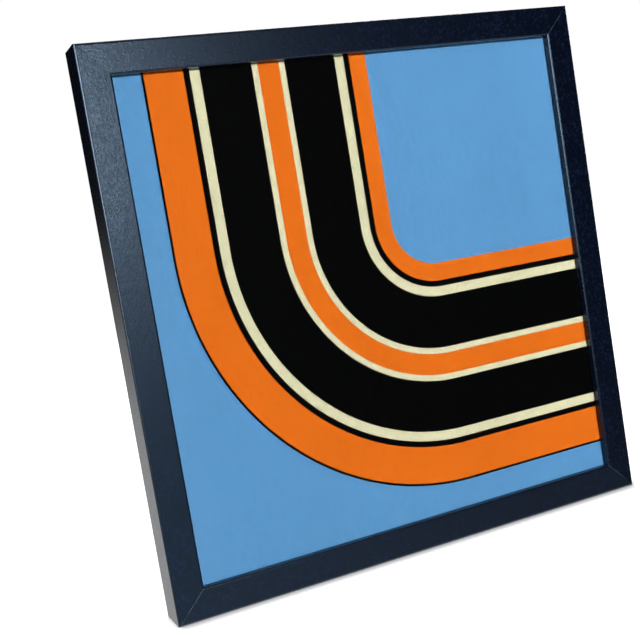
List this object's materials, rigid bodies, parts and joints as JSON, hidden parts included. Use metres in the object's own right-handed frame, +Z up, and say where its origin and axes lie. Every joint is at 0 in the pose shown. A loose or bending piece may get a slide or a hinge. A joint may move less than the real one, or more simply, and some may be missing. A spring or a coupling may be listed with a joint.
{
  "type": "record display frame",
  "caption": "Square dark plastic wall frame for a 12 inch record sleeve, with glass, printed card, filler pads and a backing board held by turn buttons.",
  "frame": {"origin": "middle of the bottom edge, on the surface it stands on, half-way through the depth", "axes": "+Z up with the frame upright, the front faces -Y and the wall is on the +Y side, +X to the right seen from the front"},
  "size_m": [0.343, 0.025, 0.343],
  "materials": {
    "moulding": "satin, fine grain, blue-black",
    "glass": "clear, polished",
    "printed_card": "satin print",
    "filler_card": "plain kraft",
    "hardboard": "pressed fibre, smooth side out",
    "nail_steel": "bright, driven flush",
    "screw_steel": "zinc plated",
    "button_steel": "zinc plated, stamped",
    "hanger_steel": "zinc plated, stamped",
    "rivet_steel": "bright"
  },
  "bodies": {
    "frame": {"top_rail": "moulding", "bottom_rail": "moulding", "left_rail": "moulding", "right_rail": "moulding", "corner_nails": "nail_steel", "glass_pane": "glass", "display_insert": "printed_card", "filler_pad_front": "filler_card", "filler_pad_rear": "filler_card", "backing_board": "hardboard", "turn_button_screws": "screw_steel", "sawtooth_hanger": "hanger_steel", "hanger_rivets": "rivet_steel"},
    "turn_button_bottom_left": {"turn_button_bottom_left": "button_steel"},
    "turn_button_bottom_right": {"turn_button_bottom_right": "button_steel"},
    "turn_button_right_lower": {"turn_button_right_lower": "button_steel"},
    "turn_button_right_upper": {"turn_button_right_upper": "button_steel"},
    "turn_button_top_right": {"turn_button_top_right": "button_steel"},
    "turn_button_top_left": {"turn_button_top_left": "button_steel"},
    "turn_button_left_upper": {"turn_button_left_upper": "button_steel"},
    "turn_button_left_lower": {"turn_button_left_lower": "button_steel"}
  },
  "joints": [
    {"name": "turn_button_bottom_left_swing", "type": "hinge", "parent": "frame", "child": "turn_button_bottom_left", "pos_m": [-0.085, 0.0055, 0.00838], "axis": [0, 1, 0], "range_deg": [-95, 95]},
    {"name": "turn_button_bottom_right_swing", "type": "hinge", "parent": "frame", "child": "turn_button_bottom_right", "pos_m": [0.085, 0.0055, 0.00838], "axis": [0, 1, 0], "range_deg": [-95, 95]},
    {"name": "turn_button_right_lower_swing", "type": "hinge", "parent": "frame", "child": "turn_button_right_lower", "pos_m": [0.16312, 0.0055, 0.0865], "axis": [0, 1, 0], "range_deg": [-95, 95]},
    {"name": "turn_button_right_upper_swing", "type": "hinge", "parent": "frame", "child": "turn_button_right_upper", "pos_m": [0.16312, 0.0055, 0.2565], "axis": [0, 1, 0], "range_deg": [-95, 95]},
    {"name": "turn_button_top_right_swing", "type": "hinge", "parent": "frame", "child": "turn_button_top_right", "pos_m": [0.085, 0.0055, 0.33463], "axis": [0, 1, 0], "range_deg": [-95, 95]},
    {"name": "turn_button_top_left_swing", "type": "hinge", "parent": "frame", "child": "turn_button_top_left", "pos_m": [-0.085, 0.0055, 0.33463], "axis": [0, 1, 0], "range_deg": [-95, 95]},
    {"name": "turn_button_left_upper_swing", "type": "hinge", "parent": "frame", "child": "turn_button_left_upper", "pos_m": [-0.16312, 0.0055, 0.2565], "axis": [0, 1, 0], "range_deg": [-95, 95]},
    {"name": "turn_button_left_lower_swing", "type": "hinge", "parent": "frame", "child": "turn_button_left_lower", "pos_m": [-0.16312, 0.0055, 0.0865], "axis": [0, 1, 0], "range_deg": [-95, 95]}
  ]
}
